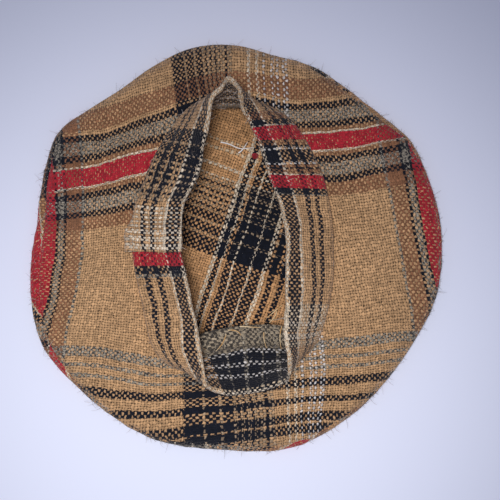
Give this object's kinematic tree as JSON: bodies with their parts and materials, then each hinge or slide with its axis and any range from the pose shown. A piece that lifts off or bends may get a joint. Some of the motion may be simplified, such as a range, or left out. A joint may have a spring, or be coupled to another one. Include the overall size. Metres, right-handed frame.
{
  "type": "doll's tam o'shanter",
  "caption": "Small soft round cloth hat in camel check, lying on its crown: flat crown, ring under it and a doubled headband round an open head opening.",
  "frame": {"origin": "under the middle of the hat's box, on the surface that its crown lies on", "axes": "+Z out of the head opening, +Y to the pinched back of the opening, +X to the side across from the headband's lap"},
  "size_m": [0.1237, 0.1218, 0.0261],
  "materials": {
    "camel_check_wool": "matte plain weave"
  },
  "bodies": {
    "root": {"crown_top": "camel_check_wool", "under_crown": "camel_check_wool", "headband": "camel_check_wool"}
  },
  "joints": []
}
